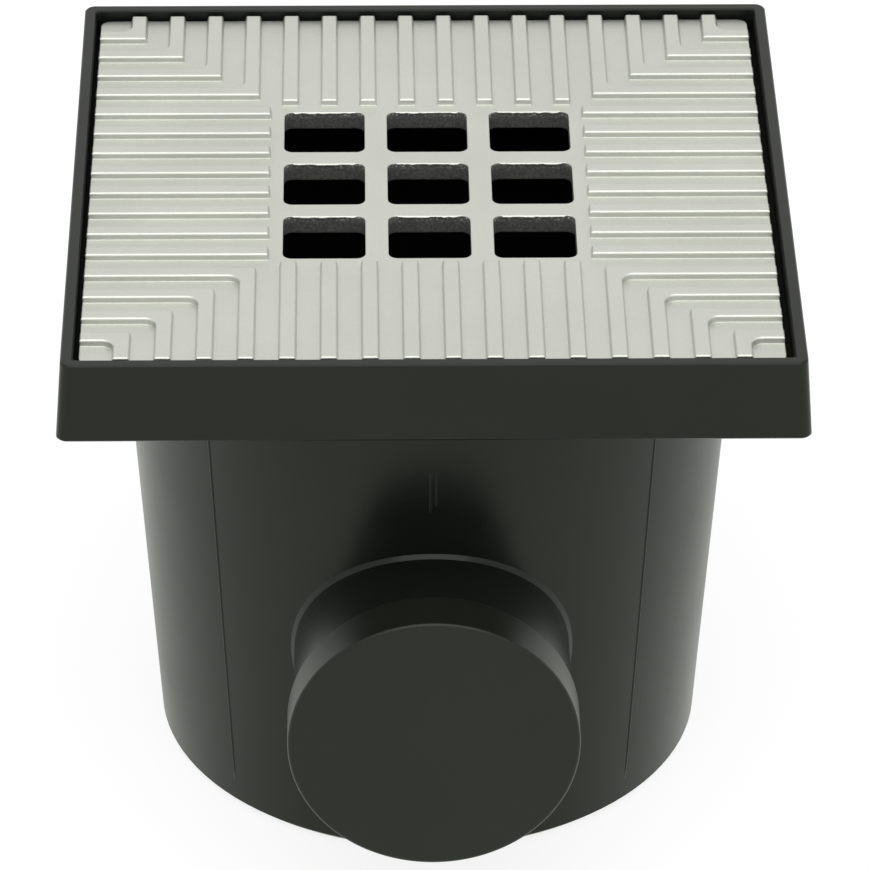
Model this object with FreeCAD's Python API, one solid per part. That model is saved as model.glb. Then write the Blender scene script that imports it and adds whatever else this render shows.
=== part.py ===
import FreeCAD, Part
import math
import os

# Yard gully: a square tray on a round pot with a horizontal outlet, closed by a cast grate.
# Millimetres. The origin is the centre of the pot's flat base, +Z is up and the outlet faces -Y.

# Tray and its skirt
total_height = 177.5            # pot base to rim top
tray_size = 200.0               # outer width of the rim at its top edge
tray_flare = 1.6                # each skirt face leans out this far by its lower edge
tray_corner_radius = 3.0
skirt_depth = 23.2
skirt_wall = 3.0
rim_wall = 3.3
rim_bevel = 0.4
skirt_bevel = 0.6
rebate_corner_radius = 1.5
seat_thickness = 3.2            # the plate inside the rim that carries the grate
seat_ledge = 10.5               # rim wall to pot mouth at the middle of a side

# Pot
pot_wall = 3.2
pot_floor = 3.5
pot_draft_deg = 3.75
pot_foot_bevel = 2.0

# Outlet spigot
outlet_height = 67.4            # pot base to outlet axis
spigot_radius = 38.5            # outside, goes into an 80 mm pipe with a 1.5 mm wall
spigot_wall = 3.0
spigot_length = 36.5            # pot wall to spigot end, along the outlet axis
spigot_root_bevel = 1.2

# Cap over the spigot
cap_clearance = 0.1
cap_wall = 1.6
cap_face = 1.5
cap_depth = 13.6                # whole length, face included
cap_bevel = 0.3

# Grate
grate_clearance = 1.85          # round the grate when it lies in the middle of the tray
grate_shift = (-0.35, 0.2)      # where it lies in that clearance
grate_drop = 0.8                # rim top to rib tops
grate_corner_radius = 3.0
plate_thickness = 5.4
slots_per_side = 3
slot_size = 22.9
slot_bar = 6.3                  # metal between two slots
slot_corner_radius = 2.6
rib_margin = 3.7                # flat border between the slots and the ribs
rib_pitch = 11.14
rib_width = 4.9                 # at the foot
rib_height = 1.85
rib_side_draft = 0.3            # the sides lean in this far below the edge
rib_edge = 0.35                 # bevel along the top edges
rib_inner_radius = 3.0          # inside corner of an angled rib

# Trap hood in front of the outlet
trap_angle_deg = 45.4           # guide rails, each side of the outlet axis
trap_wall = 2.5
trap_clearance = 0.4
trap_window_height = 14.0       # water passage under the dip wall
trap_foot_width = 8.0           # each side of that passage
trap_roof_gap = 6.0             # outlet crown to roof
trap_grip = 22.0                # dip wall above the roof, to lift it by
rail_width = 2.5
rail_depth = 6.0
rail_start = 8.5                # pot base to the rails' lower end

# Worked out from the sizes above
V = FreeCAD.Vector
UP = V(0, 0, 1)
OUT = V(0, -1, 0)
CUT = 1.0                       # tools run this far past the faces they cut
TOUCH = 1e-4                    # closer than this is the same place

rim_top = total_height
skirt_bottom = rim_top - skirt_depth
rebate_half = tray_size / 2 - rim_wall
seat_top = rim_top - grate_drop - rib_height - plate_thickness
seat_bottom = seat_top - seat_thickness
mouth_radius = rebate_half - seat_ledge
pot_slope = math.tan(math.radians(pot_draft_deg))

grate_half = rebate_half - grate_clearance
slot_pitch = slot_size + slot_bar
slot_field_half = (slots_per_side * slot_pitch - slot_bar) / 2
rib_start = slot_field_half + rib_margin
rib_end = grate_half + CUT       # ribs run past the plate edge and are trimmed to it

outlet_crown = outlet_height + spigot_radius - spigot_wall


def pot_inner_radius(z):
    return mouth_radius - (seat_top - z) * pot_slope


def pot_outer_radius(z):
    return pot_inner_radius(z) + pot_wall


spigot_end = pot_outer_radius(outlet_height) + spigot_length
trap_plane = pot_inner_radius(outlet_height) * math.cos(math.radians(trap_angle_deg))
trap_roof = outlet_crown + trap_roof_gap
trap_top = trap_roof + trap_wall + trap_grip


def rounded_square(half, radius, z):
    """Wire of a square with rounded corners, centred on the Z axis."""
    edges = []
    for quarter in range(4):
        turn = FreeCAD.Rotation(UP, 90.0 * quarter)
        middle = V(half - radius, half - radius, 0)
        side_start = turn.multVec(V(half, radius - half, 0))
        side_end = turn.multVec(V(half, half - radius, 0))
        on_arc = turn.multVec(middle + V(radius, radius, 0) * math.sqrt(0.5))
        next_start = turn.multVec(V(half - radius, half, 0))
        lift = V(0, 0, z)
        edges.append(Part.makeLine(side_start + lift, side_end + lift))
        edges.append(Part.Arc(side_end + lift, on_arc + lift, next_start + lift).toShape())
    return Part.Wire(edges)


def square_block(*sections):
    """Upright block through rounded squares, each given as half width, corner radius and height."""
    return Part.makeLoft([rounded_square(*section) for section in sections], True, True)


def slab(x_half, y_low, y_high, z_low, z_high):
    """Box between two planes in Y and two in Z, centred in X."""
    return Part.makeBox(2 * x_half, y_high - y_low, z_high - z_low, V(-x_half, y_low, z_low))


def edges_in_plane(shape, axis, value):
    """Edges that lie in the plane where an axis ("X", "Y" or "Z") has a value."""
    found = []
    for edge in shape.Edges:
        low = getattr(edge.BoundBox, axis + "Min")
        high = getattr(edge.BoundBox, axis + "Max")
        if abs(low - value) < TOUCH and abs(high - value) < TOUCH:
            found.append(edge)
    return found


def pot_block():
    """The pot's outside, up to the seat, with its bevelled foot."""
    block = Part.makeCone(pot_outer_radius(0), pot_outer_radius(seat_top), seat_top)
    return block.makeChamfer(pot_foot_bevel, edges_in_plane(block, "Z", 0))


def pot_hollow(inset=0.0):
    """The pot's inside, from its floor past the seat; an inset keeps clear of the wall."""
    top = seat_top + CUT
    return Part.makeCone(pot_inner_radius(pot_floor) - inset, pot_inner_radius(top) - inset,
                         top - pot_floor, V(0, 0, pot_floor))


def tray():
    """Rim, skirt and the seat plate between them."""
    half = tray_size / 2
    foot_half = half + tray_flare
    outside = square_block((foot_half - skirt_bevel, tray_corner_radius - skirt_bevel, skirt_bottom),
                           (foot_half, tray_corner_radius, skirt_bottom + skirt_bevel),
                           (half, tray_corner_radius, rim_top - rim_bevel),
                           (half - rim_bevel, tray_corner_radius - rim_bevel, rim_top))
    rim_spread = rim_bevel + CUT
    rebate = square_block((rebate_half, rebate_corner_radius, seat_top),
                          (rebate_half, rebate_corner_radius, rim_top - rim_bevel),
                          (rebate_half + rim_spread, rebate_corner_radius + rim_spread, rim_top + CUT))
    apron_corner = max(tray_corner_radius - skirt_wall, rebate_corner_radius)
    apron_half = half - skirt_wall + tray_flare * (rim_top - seat_bottom) / skirt_depth
    apron_foot = foot_half - skirt_wall + tray_flare * CUT / skirt_depth
    apron = square_block((apron_foot, apron_corner, skirt_bottom - CUT),
                         (apron_half, apron_corner, seat_bottom))
    return outside.cut([rebate, apron])


def guide_rails():
    """Rails before and behind the trap hood's dip wall; the front ones stop under its roof."""
    band = pot_hollow().cut(pot_hollow(rail_depth))
    reach = pot_outer_radius(seat_top)
    groove_front = -trap_plane - trap_wall / 2 - trap_clearance
    groove_back = -trap_plane + trap_wall / 2 + trap_clearance
    front_top = trap_roof - trap_clearance
    front = slab(reach, groove_front - rail_width, groove_front, rail_start, front_top)
    back = slab(reach, groove_back, groove_back + rail_width, rail_start, trap_top)
    return [front.common(band), back.common(band)]


def outlet_tube(radius, length):
    """Cylinder along the outlet axis, from the pot's axis outwards."""
    return Part.makeCylinder(radius, length, V(0, 0, outlet_height), OUT)


def gully_body():
    """Tray, pot and spigot as one moulding."""
    outside = pot_block().fuse(outlet_tube(spigot_radius, spigot_end)).Solids[0]
    spigot_root = [e for e in outside.Edges if isinstance(e.Curve, Part.BSplineCurve)]
    outside = outside.makeChamfer(spigot_root_bevel, spigot_root)
    bore = outlet_tube(spigot_radius - spigot_wall, spigot_end + CUT)
    body = tray().fuse(outside).cut([pot_hollow(), bore])
    return body.fuse(guide_rails()).removeSplitter()


def outlet_cap():
    """Closed cap, pushed on until its face meets the spigot's end."""
    inside = spigot_radius + cap_clearance
    front = -spigot_end - cap_face
    rear = front + cap_depth
    block = Part.makeCylinder(inside + cap_wall, cap_depth, V(0, rear, outlet_height), OUT)
    block = block.makeChamfer(cap_bevel, edges_in_plane(block, "Y", front))
    bore = Part.makeCylinder(inside, cap_depth - cap_face, V(0, rear, outlet_height), OUT)
    return block.cut(bore)


def rib_solid(outline):
    """Raised rib from its foot outline: drafted sides, then a bevel up to the flat top."""
    foot = outline(0.0, 0.0)
    shoulder = outline(rib_side_draft, rib_height - rib_edge)
    top = outline(rib_side_draft + rib_edge, rib_height)
    return Part.makeLoft([foot, shoulder, top], True, True)


def straight_rib(position):
    """Rib square to the +X edge, at a distance along it."""
    def outline(inset, z):
        side = rib_width / 2 - inset
        near = rib_start + inset
        corners = [V(near, position - side, z), V(rib_end, position - side, z),
                   V(rib_end, position + side, z), V(near, position + side, z)]
        return Part.makePolygon(corners + corners[:1])
    return rib_solid(outline)


def angled_rib(position):
    """L-shaped rib whose point faces the middle of the plate and whose legs run to +X and +Y."""
    def outline(inset, z):
        point = position - rib_width / 2 + inset
        inner = position + rib_width / 2 - inset
        middle = position + rib_width / 2 + rib_inner_radius
        on_arc = middle - (rib_inner_radius + inset) * math.sqrt(0.5)
        corners = [V(inner, middle, z), V(inner, rib_end, z), V(point, rib_end, z), V(point, point, z),
                   V(rib_end, point, z), V(rib_end, inner, z), V(middle, inner, z)]
        edges = Part.makePolygon(corners).Edges
        edges.append(Part.Arc(corners[-1], V(on_arc, on_arc, z), corners[0]).toShape())
        return Part.Wire(edges)
    return rib_solid(outline)


def grate_ribs():
    """Ribs at one pitch round all four sides: straight beside the slots, angled at the corners."""
    quarter = []
    position = rib_pitch / 2
    while position + rib_width / 2 + rib_inner_radius < grate_half:
        if position + rib_width / 2 < rib_start:
            quarter.append(straight_rib(position))
            quarter.append(straight_rib(-position))
        else:
            quarter.append(angled_rib(position))
        position += rib_pitch
    ribs = []
    for turn in range(4):
        for rib in quarter:
            ribs.append(rib.rotated(V(0, 0, 0), UP, 90.0 * turn))
    return ribs


def grate():
    """Cast plate with a square field of slots and raised ribs, lying on the seat."""
    plate = square_block((grate_half, grate_corner_radius, 0),
                         (grate_half, grate_corner_radius, plate_thickness))
    slot = square_block((slot_size / 2, slot_corner_radius, -CUT),
                        (slot_size / 2, slot_corner_radius, plate_thickness + CUT))
    first = -slot_pitch * (slots_per_side - 1) / 2
    slots = []
    for row in range(slots_per_side):
        for column in range(slots_per_side):
            slots.append(slot.translated(V(first + column * slot_pitch, first + row * slot_pitch, 0)))
    ribs = [rib.translated(V(0, 0, plate_thickness)) for rib in grate_ribs()]
    rib_top = plate_thickness + rib_height
    trim = square_block((grate_half, grate_corner_radius, 0),
                        (grate_half, grate_corner_radius, rib_top - rib_edge),
                        (grate_half - rib_edge, grate_corner_radius - rib_edge, rib_top))
    casting = plate.cut(slots).fuse(ribs).common(trim).removeSplitter()
    return casting.translated(V(grate_shift[0], grate_shift[1], seat_top))


def trap_hood():
    """Dip wall with a roof behind it that shuts off the outlet's corner of the pot."""
    reach = pot_outer_radius(seat_top)
    front = -trap_plane - trap_wall / 2
    back = -trap_plane + trap_wall / 2
    wall = slab(reach, front, back, pot_floor, trap_top)
    roof = slab(reach, -reach, back, trap_roof, trap_roof + trap_wall)
    hood = wall.fuse(roof).common(pot_hollow(trap_clearance))
    foot_span = math.sqrt(pot_inner_radius(pot_floor) ** 2 - trap_plane ** 2)
    window = slab(foot_span - trap_foot_width, front - CUT, back + CUT,
                  pot_floor - CUT, pot_floor + trap_window_height)
    return hood.cut(window).removeSplitter()


def main():
    os.makedirs("parts", exist_ok=True)
    pieces = {"gully_body": gully_body, "grate": grate, "outlet_cap": outlet_cap, "trap_hood": trap_hood}
    for name, make in pieces.items():
        shape = make()
        print(name, "solids", len(shape.Solids), "valid", shape.isValid(), "volume", round(shape.Volume))
        shape.exportStep(os.path.join("parts", name + ".step"))


main()
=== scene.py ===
import math
import random

import bmesh
import bpy
from mathutils import Matrix, Vector


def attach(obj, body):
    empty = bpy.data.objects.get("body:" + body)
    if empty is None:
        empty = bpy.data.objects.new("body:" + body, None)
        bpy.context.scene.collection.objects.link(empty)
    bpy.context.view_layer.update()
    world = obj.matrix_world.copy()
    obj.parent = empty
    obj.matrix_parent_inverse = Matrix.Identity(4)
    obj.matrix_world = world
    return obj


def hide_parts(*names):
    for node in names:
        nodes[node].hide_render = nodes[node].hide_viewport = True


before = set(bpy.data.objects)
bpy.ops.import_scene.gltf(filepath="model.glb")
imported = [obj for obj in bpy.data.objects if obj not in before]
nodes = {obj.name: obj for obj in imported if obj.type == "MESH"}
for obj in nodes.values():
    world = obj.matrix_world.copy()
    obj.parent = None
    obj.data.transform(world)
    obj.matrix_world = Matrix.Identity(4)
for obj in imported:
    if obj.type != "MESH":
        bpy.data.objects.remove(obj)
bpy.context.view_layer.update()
scene = bpy.context.scene
MM = 0.001

# Sizes of the solids, in millimetres, as the source builds them
POT_BASE_RADIUS = 78.29
POT_SLOPE = math.tan(math.radians(3.75))
POT_LOW = 3.0                   # the cone starts above its bevelled foot
POT_HIGH = 165.0                # and ends under the tray
SPIGOT_START = 86.0             # from the pot's axis to where the spigot leaves the pot
SPIGOT_TOP = 120.0              # above the spigot's crown and below the tray
REBATE_HALF = 97.0              # just outside the wall of the recess that the grate lies in
SEAT_TOP = 169.45               # the floor of that recess
PLATE_TOP = 174.85              # the grate's plate, under the ribs
GRATE_X = -0.35
GRATE_Y = 0.2
SLOT_PITCH = 29.2
SLOT_HALF = 11.45
CAP_WALL = 1.6
CAP_FACE = 1.5

# The rounded cap
CAP_ROUND = 1.2                 # along its front edge
CAP_ROUND_STEPS = 10
CAP_REAR_BEVEL = 0.15
CAP_RING_GAP = 0.1              # rings this close to an edge keep the flats beside it flat
CAP_STEPS = 180

# Mould lines and flash
LINE_STEPS = 40
LIP_STEPS = 90
LIP_SWELL_STEPS = 6             # steps from one swelling of the flash to the next
LIP_END = 2.2                   # the flash stops short of the slot's round corners

# Looks
MOULDED = (0.0098, 0.0116, 0.0086)
CRISP = 0.02                    # edge radius of pieces whose edges show as they are
NOISE_LOW, NOISE_HIGH = 0.3, 0.7    # the band that a noise mostly fills
PAINTED_SHADE_TONE = 0.3                 # what the painted shade in the recess leaves of the colour
RECESS_ROUGHNESS = 0.5
REAR_SHADE = 0.35                # the recess's rear wall gets less painted shade
SPIGOT_POLISH = -0.05           # the spigot is smoother than the pot
EDGE_SAMPLES = 6
MIX_SOCKETS = {"FLOAT": (2, 3, 0), "VECTOR": (4, 5, 1), "RGBA": (6, 7, 2)}     # A, B and the result


# Shader helpers
def new_material(name):
    material = bpy.data.materials.new(name)
    material.use_nodes = True
    material.node_tree.nodes.clear()
    return material, material.node_tree


def feed(tree, socket, value):
    """Link a socket's source, or set its plain value."""
    if isinstance(value, bpy.types.NodeSocket):
        tree.links.new(value, socket)
    else:
        socket.default_value = value


def node(tree, kind, **inputs):
    made = tree.nodes.new(kind)
    for key, value in inputs.items():
        feed(tree, made.inputs[key.replace("_", " ")], value)
    return made


def maths(tree, operation, *values):
    made = tree.nodes.new("ShaderNodeMath")
    made.operation = operation
    for socket, value in zip(made.inputs, values):
        feed(tree, socket, value)
    return made.outputs["Value"]


def product(tree, first, *others):
    for other in others:
        first = maths(tree, "MULTIPLY", first, other)
    return first


def total(tree, a, b):
    return maths(tree, "ADD", a, b)


def vector_maths(tree, operation, result, **inputs):
    made = node(tree, "ShaderNodeVectorMath")
    made.operation = operation
    for key, value in inputs.items():
        feed(tree, made.inputs[key], value)
    return made.outputs[result]


def blend(tree, kind, factor, a, b):
    made = tree.nodes.new("ShaderNodeMix")
    made.data_type = kind
    first, second, result = MIX_SOCKETS[kind]
    feed(tree, made.inputs[0], factor)
    feed(tree, made.inputs[first], a)
    feed(tree, made.inputs[second], b)
    return made.outputs[result]


def spread(tree, value, low, high, out_low, out_high):
    return node(tree, "ShaderNodeMapRange", Value=value, From_Min=low, From_Max=high,
                To_Min=out_low, To_Max=out_high).outputs["Result"]


def ramp(tree, value, low, high):
    """0 at low and 1 at high, both in millimetres."""
    return spread(tree, value, low * MM, high * MM, 0.0, 1.0)


def noise(tree, place, scale, detail=2.0, roughness=0.5):
    return node(tree, "ShaderNodeTexNoise", Vector=place, Scale=scale, Detail=detail,
                Roughness=roughness).outputs["Fac"]


def vary(tree, texture, low, high):
    return spread(tree, texture, NOISE_LOW, NOISE_HIGH, low, high)


def tint(tree, colour, value):
    return vector_maths(tree, "SCALE", "Vector", Vector=colour, Scale=value)


def split(tree, place):
    return node(tree, "ShaderNodeSeparateXYZ", Vector=place).outputs


def object_place(tree):
    return tree.nodes.new("ShaderNodeTexCoord").outputs["Object"]


def edge_normal(tree, radius):
    edge = node(tree, "ShaderNodeBevel", Radius=radius * MM)
    edge.samples = EDGE_SAMPLES
    return edge.outputs["Normal"]


def show(tree, surface, kind="ShaderNodeOutputMaterial"):
    """Make a shader the tree's surface."""
    node(tree, kind, Surface=surface)


# Places on the body
def in_rebate(tree, place):
    """Where shade is painted: 1 on the wall and floor of the recess round the grate, less on its rear wall, 0
    elsewhere.
    """
    axes = split(tree, place)
    wide = maths(tree, "MAXIMUM", maths(tree, "ABSOLUTE", axes["X"]), maths(tree, "ABSOLUTE", axes["Y"]))
    within = ramp(tree, wide, REBATE_HALF + 0.05, REBATE_HALF - 0.05)
    above = ramp(tree, axes["Z"], SEAT_TOP - 0.9, SEAT_TOP - 0.5)
    rear = spread(tree, axes["Y"], (REBATE_HALF - 2.0) * MM, (REBATE_HALF - 1.0) * MM, 1.0, REAR_SHADE)
    return product(tree, within, above, rear)


def on_spigot(tree, place):
    """1 on the outlet spigot, 0 elsewhere."""
    axes = split(tree, place)
    return product(tree, ramp(tree, axes["Y"], 2.0 - SPIGOT_START, -SPIGOT_START),
                   ramp(tree, axes["Z"], SPIGOT_TOP + 5.0, SPIGOT_TOP))


def round_pot(tree, place, normal):
    """The cone's true normal on the pot's outside, where flat facets stand for it; the given one elsewhere."""
    axes = split(tree, place)
    flat = node(tree, "ShaderNodeCombineXYZ", X=axes["X"], Y=axes["Y"]).outputs["Vector"]
    radius = vector_maths(tree, "LENGTH", "Value", Vector=flat)
    base = POT_BASE_RADIUS * MM
    cone = spread(tree, axes["Z"], 0.0, 1.0, base, base + POT_SLOPE)
    off = maths(tree, "SUBTRACT", radius, cone)
    on_pot = product(tree, ramp(tree, off, -0.2, -0.15), ramp(tree, off, 0.1, 0.05),
                     ramp(tree, axes["Z"], POT_LOW - 0.4, POT_LOW), ramp(tree, axes["Z"], POT_HIGH + 0.6, POT_HIGH))
    outward = node(tree, "ShaderNodeCombineXYZ", X=axes["X"], Y=axes["Y"],
                   Z=product(tree, radius, -POT_SLOPE)).outputs["Vector"]
    turned = node(tree, "ShaderNodeVectorTransform", Vector=outward)
    turned.vector_type = "NORMAL"
    turned.convert_from = "OBJECT"
    turned.convert_to = "WORLD"
    true = vector_maths(tree, "NORMALIZE", "Vector", Vector=turned.outputs["Vector"])
    return blend(tree, "VECTOR", on_pot, normal, true)


# Materials
def plastic(name, colour, roughness, specular, edge_radius, pot=False):
    """Dark satin moulding with a faint mottle and a fine skin, with painted shade, darker and rougher, in the
    recess round the grate.
    """
    material, tree = new_material(name)
    place = object_place(tree)
    # painted shade: the colour is darkened and the roughness raised in the recess round the grate
    recess_shade = in_rebate(tree, place)
    shade_tone = spread(tree, recess_shade, 0.0, 1.0, 1.0, PAINTED_SHADE_TONE)
    mottle = noise(tree, place, 22.0, 3.0)
    grain = noise(tree, place, 1100.0, 2.0)
    patch = noise(tree, place, 14.0, 4.0)
    tone = product(tree, vary(tree, mottle, 0.88, 1.12), vary(tree, grain, 0.96, 1.04), shade_tone)
    rough = total(tree, vary(tree, patch, roughness + 0.04, roughness - 0.04), product(tree, recess_shade, RECESS_ROUGHNESS))
    normal = edge_normal(tree, edge_radius)
    if pot:
        rough = total(tree, rough, product(tree, on_spigot(tree, place), SPIGOT_POLISH))
        normal = round_pot(tree, place, normal)
    bump = node(tree, "ShaderNodeBump", Strength=0.06, Distance=0.05 * MM, Height=grain, Normal=normal)
    shader = node(tree, "ShaderNodeBsdfPrincipled", Base_Color=tint(tree, colour, tone), Roughness=rough,
                  Specular_IOR_Level=specular, Specular_Tint=(0.94, 1.0, 0.88, 1.0), Normal=bump.outputs["Normal"])
    show(tree, shader.outputs["BSDF"])
    return material


def casting(name, colour, roughness, top, edge_radius):
    """Blasted aluminium: an even skin on top, a rough dark one on the walls below it, with painted shade that
    darkens the walls towards the slot bottom and painted glints, bright specks, near their top.
    """
    material, tree = new_material(name)
    place = object_place(tree)
    height = split(tree, place)["Z"]
    wall = ramp(tree, height, top - 0.15, top - 0.45)
    # painted light down the slot walls: 1 near the top, 0 lower down
    painted_light_ramp = ramp(tree, height, top - 2.4, top - 0.3)
    broad = noise(tree, place, 30.0, 3.0)
    grain = noise(tree, place, 1600.0, 3.0, 0.6)
    rubble = noise(tree, place, 1500.0, 4.0, 0.7)
    tone = product(tree, vary(tree, broad, 0.97, 1.03), vary(tree, grain, 0.97, 1.03))
    # pits at random, and painted shade that darkens the walls towards the slot bottom
    pitted_and_shaded = product(tree, spread(tree, rubble, 0.35, 0.65, 0.22, 0.5), spread(tree, painted_light_ramp, 0.0, 1.0, 0.6, 1.0))
    # painted glints: bright specks, brighter than white, that fade down the wall
    painted_glints = product(tree, spread(tree, rubble, 0.57, 0.63, 0.0, 2.2), painted_light_ramp, painted_light_ramp)
    skin = blend(tree, "FLOAT", wall, tone, total(tree, pitted_and_shaded, painted_glints))
    even = vary(tree, noise(tree, place, 400.0, 3.0), roughness - 0.03, roughness + 0.03)
    rough = total(tree, even, product(tree, wall, 0.3))
    bump = node(tree, "ShaderNodeBump", Strength=spread(tree, wall, 0.0, 1.0, 0.16, 0.9), Distance=0.06 * MM,
                Height=blend(tree, "FLOAT", wall, grain, rubble), Normal=edge_normal(tree, edge_radius))
    shader = node(tree, "ShaderNodeBsdfPrincipled", Base_Color=tint(tree, colour, skin),
                  Metallic=spread(tree, wall, 0.0, 1.0, 1.0, 0.25), Roughness=rough, Normal=bump.outputs["Normal"])
    show(tree, shader.outputs["BSDF"])
    return material


def dress(obj, material):
    obj.data.materials.clear()
    obj.data.materials.append(material)


body_plastic = plastic("body_plastic", MOULDED, 0.30, 0.27, 0.3, pot=True)
line_plastic = plastic("line_plastic", MOULDED, 0.30, 0.27, CRISP)
cap_plastic = plastic("cap_plastic", (0.0128, 0.0147, 0.0107), 0.33, 0.30, CRISP)
trap_plastic = plastic("trap_plastic", (0.0118, 0.0128, 0.0106), 0.36, 0.30, 0.3)
cast_aluminium = casting("cast_aluminium", (0.59, 0.602, 0.55), 0.42, PLATE_TOP, 0.55)
flash_aluminium = casting("flash_aluminium", (0.6, 0.61, 0.56), 0.42, PLATE_TOP - 0.5, CRISP)

dress(nodes["gully_body"], body_plastic)
dress(nodes["outlet_cap"], cap_plastic)
dress(nodes["trap_hood"], trap_plastic)
dress(nodes["grate"], cast_aluminium)


# Pieces
def link(name, data):
    obj = bpy.data.objects.new(name, data)
    scene.collection.objects.link(obj)
    return obj


def piece(name, shape, material):
    """Make an object of a bmesh, on the part's one body."""
    bmesh.ops.recalc_face_normals(shape, faces=shape.faces)
    mesh = bpy.data.meshes.new(name)
    shape.to_mesh(mesh)
    shape.free()
    obj = link(name, mesh)
    dress(obj, material)
    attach(obj, "root")
    return obj


def strip(name, rings, material):
    """Closed solid through rings of equally many points, in millimetres."""
    shape = bmesh.new()
    made = [[shape.verts.new(Vector(point) * MM) for point in ring] for ring in rings]
    shape.faces.new(made[0])
    shape.faces.new(made[-1])
    for ring, after in zip(made, made[1:]):
        for j in range(len(ring)):
            k = (j + 1) % len(ring)
            shape.faces.new((ring[j], ring[k], after[k], after[j])).smooth = True
    piece(name, shape, material)


def mould_line(name, angle_deg, z_low, z_high, width, height):
    """Low ridge on the pot, sunk a little into it and running out at its ends."""
    angle = math.radians(angle_deg)
    out = Vector((math.sin(angle), -math.cos(angle), 0))
    across = Vector((math.cos(angle), math.sin(angle), 0))
    profile = ((-0.5, -0.5), (-0.5, 0.0), (-0.2, 0.8), (0.0, 1.0), (0.2, 0.8), (0.5, 0.0), (0.5, -0.5))
    rings = []
    for i in range(LINE_STEPS + 1):
        z = z_low + (z_high - z_low) * i / LINE_STEPS
        foot = out * (POT_BASE_RADIUS + z * POT_SLOPE) + Vector((0, 0, z))
        rise = height * min(1.0, 0.2 + i / 3, 0.2 + (LINE_STEPS - i) / 3)
        rings.append([foot + across * side * width + out * lift * rise for side, lift in profile])
    strip(name, rings, line_plastic)


def slot_lip(name, x, y_wall):
    """Ragged flash left along a slot's rear upper edge."""
    chance = random.Random(name)
    reach = SLOT_HALF - LIP_END
    coarse = [chance.random() for i in range(LIP_STEPS // LIP_SWELL_STEPS + 2)]
    rings = []
    for i in range(LIP_STEPS + 1):
        place, part = divmod(i, LIP_SWELL_STEPS)
        swell = coarse[place] + (coarse[place + 1] - coarse[place]) * part / LIP_SWELL_STEPS
        fade = min(1.0, 0.15 + i / 5, 0.15 + (LIP_STEPS - i) / 5)
        out = fade * (0.22 + 0.3 * swell + 0.16 * chance.random())
        drop = fade * (0.26 + 0.3 * swell + 0.16 * chance.random())
        crest = fade * (0.02 + 0.05 * chance.random())
        profile = ((0.3, -0.03), (0.05, crest), (-out * 0.5, crest - drop * 0.3), (-out, -drop),
                   (-out * 0.5, -drop * 1.3), (0.2, -drop * 1.5))
        along = x - reach + 2 * reach * i / LIP_STEPS
        rings.append([(along, y_wall + depth, PLATE_TOP + level) for depth, level in profile])
    strip(name, rings, flash_aluminium)


def cap_profile(radius, front, rear):
    """Radius and y of the cap's section, from the middle of its face round to the middle of its inside."""
    bore = radius - CAP_WALL
    inside = front + CAP_FACE
    gap = CAP_RING_GAP
    profile = [(0.0, front), (radius / 2, front), (radius - CAP_ROUND - gap, front)]
    for i in range(CAP_ROUND_STEPS + 1):
        turn = math.pi / 2 * i / CAP_ROUND_STEPS
        profile.append((radius - CAP_ROUND * (1 - math.sin(turn)), front + CAP_ROUND * (1 - math.cos(turn))))
    profile += [(radius, front + CAP_ROUND + gap),
                (radius, rear - CAP_REAR_BEVEL - gap), (radius, rear - CAP_REAR_BEVEL),
                (radius - CAP_REAR_BEVEL, rear), (radius - CAP_REAR_BEVEL - gap, rear),
                (bore + gap, rear), (bore, rear), (bore, rear - gap),
                (bore, inside + gap), (bore, inside), (bore - gap, inside), (0.0, inside)]
    return profile


def turned_cap(name):
    """The outlet's cap with its rounded front edge, turned about the spigot's axis within the solid's own box."""
    corners = [Vector(corner) / MM for corner in nodes["outlet_cap"].bound_box]
    (left, right), (front, rear), (low, high) = [(min(values), max(values)) for values in zip(*corners)]
    level = (low + high) / 2
    shape = bmesh.new()
    rings = []
    for reach, y in cap_profile((right - left) / 2, front, rear):
        turns = [2 * math.pi * j / CAP_STEPS for j in range(CAP_STEPS)] if reach else [0.0]
        rings.append([shape.verts.new(Vector((reach * math.sin(turn), y, level + reach * math.cos(turn))) * MM)
                      for turn in turns])
    for ring, after in zip(rings, rings[1:]):
        for j in range(CAP_STEPS):
            k = (j + 1) % CAP_STEPS
            around = [ring[j % len(ring)], ring[k % len(ring)], after[k % len(after)], after[j % len(after)]]
            shape.faces.new(list(dict.fromkeys(around))).smooth = True
    obj = piece(name, shape, cap_plastic)
    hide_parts("outlet_cap")


turned_cap("rounded_cap")
mould_line("mould_line_left", -45.4, 8.5, 160.0, 0.9, 0.26)
mould_line("mould_line_right", 45.4, 8.5, 160.0, 0.9, 0.26)
mould_line("parting_line_left", -0.53, 121.0, 134.5, 0.5, 0.08)
mould_line("parting_line_right", 0.53, 123.0, 134.0, 0.5, 0.08)
for row, depth in (("front", -1), ("middle", 0), ("back", 1)):
    for column, side in (("left", -1), ("centre", 0), ("right", 1)):
        slot_lip("slot_lip_%s_%s" % (row, column), GRATE_X + side * SLOT_PITCH,
                 GRATE_Y + depth * SLOT_PITCH + SLOT_HALF)


# Floor and light
def seen_directly(tree):
    """1 for rays from the camera, off gloss and through glass, 0 for those that carry light."""
    path = tree.nodes.new("ShaderNodeLightPath").outputs
    bent = maths(tree, "MAXIMUM", path["Is Camera Ray"], path["Is Glossy Ray"])
    return maths(tree, "MAXIMUM", bent, path["Is Transmission Ray"])


FLOOR_HALF = 6.0
FLOOR_DROP = 0.3
FLOOR_GLOW = 0.84
FLOOR_MIRRORED = (0.96, 1.0, 0.93, 1.0)     # the floor's tint in glossy surfaces
WHITE = (1.0, 1.0, 1.0, 1.0)
WORLD_LIGHT = 0.5
LAMP_PLACE = (0.0, -0.45, 1.35)
LAMP_TARGET = (0.0, 0.0, 0.1)
LAMP_SIZE = (1.6, 1.2)
LAMP_POWER = 8.5

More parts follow.
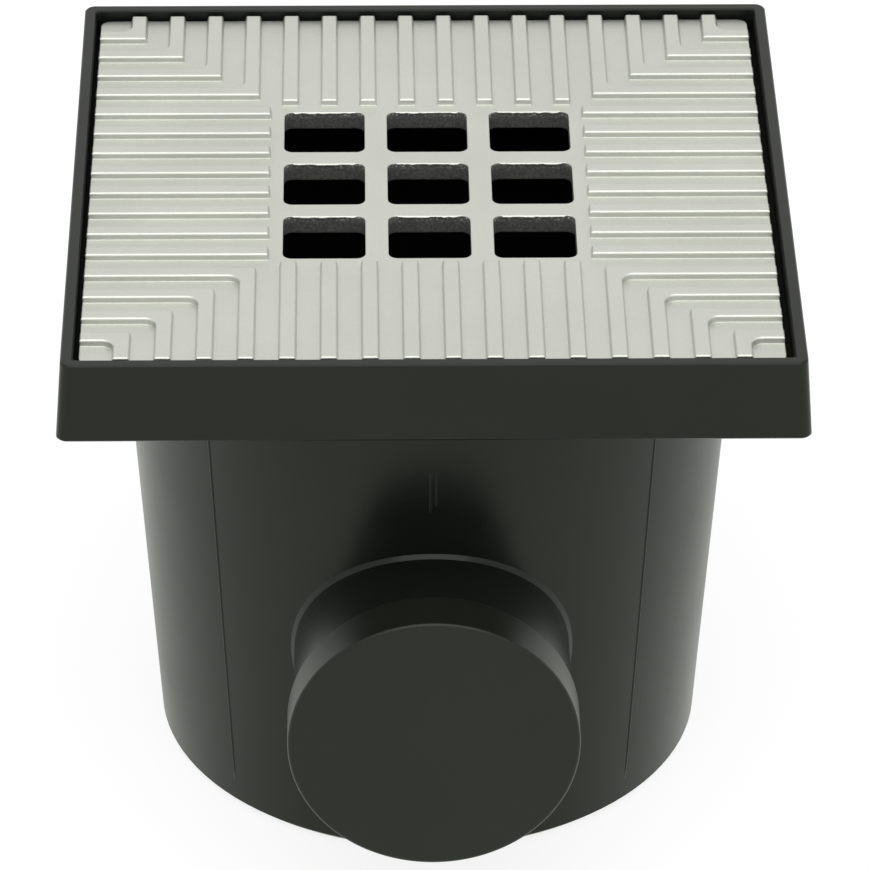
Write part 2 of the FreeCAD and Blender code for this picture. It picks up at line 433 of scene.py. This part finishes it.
floor_mesh = bpy.data.meshes.new("floor")
floor_mesh.from_pydata([(x * FLOOR_HALF, y * FLOOR_HALF, 0) for x, y in ((-1, -1), (1, -1), (1, 1), (-1, 1))],
                       [], [(0, 1, 2, 3)])
floor = link("floor", floor_mesh)
floor.location = (0, 0, -FLOOR_DROP * MM)
material, tree = new_material("floor_white")
pale = tint(tree, (0.8, 0.8, 0.8), vary(tree, noise(tree, object_place(tree), 8.0), 0.99, 1.01))
lit = node(tree, "ShaderNodeBsdfDiffuse", Color=pale)
off_gloss = tree.nodes.new("ShaderNodeLightPath").outputs["Is Glossy Ray"]
glow = node(tree, "ShaderNodeEmission", Color=blend(tree, "RGBA", off_gloss, WHITE, FLOOR_MIRRORED),
            Strength=FLOOR_GLOW)
faint = node(tree, "ShaderNodeBsdfDiffuse", Color=(0.3, 0.3, 0.3, 1.0))
seen = tree.nodes.new("ShaderNodeAddShader")
feed(tree, seen.inputs[0], faint.outputs["BSDF"])
feed(tree, seen.inputs[1], glow.outputs["Emission"])
choice = node(tree, "ShaderNodeMixShader", Fac=seen_directly(tree))
feed(tree, choice.inputs[1], lit.outputs["BSDF"])
feed(tree, choice.inputs[2], seen.outputs["Shader"])
show(tree, choice.outputs["Shader"])
floor_mesh.materials.append(material)

world = bpy.data.worlds.new("white_room")
scene.world = world
world.use_nodes = True
tree = world.node_tree
tree.nodes.clear()
strength = spread(tree, seen_directly(tree), 0.0, 1.0, WORLD_LIGHT, 1.0)
background = node(tree, "ShaderNodeBackground", Color=WHITE, Strength=strength)
show(tree, background.outputs["Background"], "ShaderNodeOutputWorld")

lamp = bpy.data.lights.new("overhead", "AREA")
lamp.shape = "RECTANGLE"
lamp.size, lamp.size_y = LAMP_SIZE
lamp.energy = LAMP_POWER
overhead = link("overhead", lamp)
overhead.location = LAMP_PLACE
overhead.rotation_mode = "QUATERNION"
overhead.rotation_quaternion = (Vector(LAMP_TARGET) - Vector(LAMP_PLACE)).to_track_quat("-Z", "Y")
overhead.visible_camera = False

# Camera
PITCH = math.radians(32.732)
YAW = math.radians(0.941)
ROLL = math.radians(0.26)
CAMERA_PLACE = (-0.02202, -1.45282, 1.02495)
SENSOR = 36.0
FOCAL_PIXELS = 5988.585
IMAGE_PIXELS = 870

camera = link("camera", bpy.data.cameras.new("camera"))
camera.data.sensor_width = SENSOR
camera.data.lens = SENSOR * FOCAL_PIXELS / IMAGE_PIXELS
camera.data.clip_start = 0.05
camera.data.clip_end = 60.0
look = Matrix(((1, 0, 0), (0, -math.sin(PITCH), -math.cos(PITCH)), (0, math.cos(PITCH), -math.sin(PITCH))))
axes = Matrix.Rotation(ROLL, 3, "Z") @ look @ Matrix.Rotation(YAW, 3, "Z")
turn = Matrix((axes[0], -axes[1], -axes[2])).transposed().to_4x4()
camera.matrix_world = Matrix.Translation(CAMERA_PLACE) @ turn
scene.camera = camera

scene.view_settings.view_transform = "Standard"

bpy.context.view_layer.update()
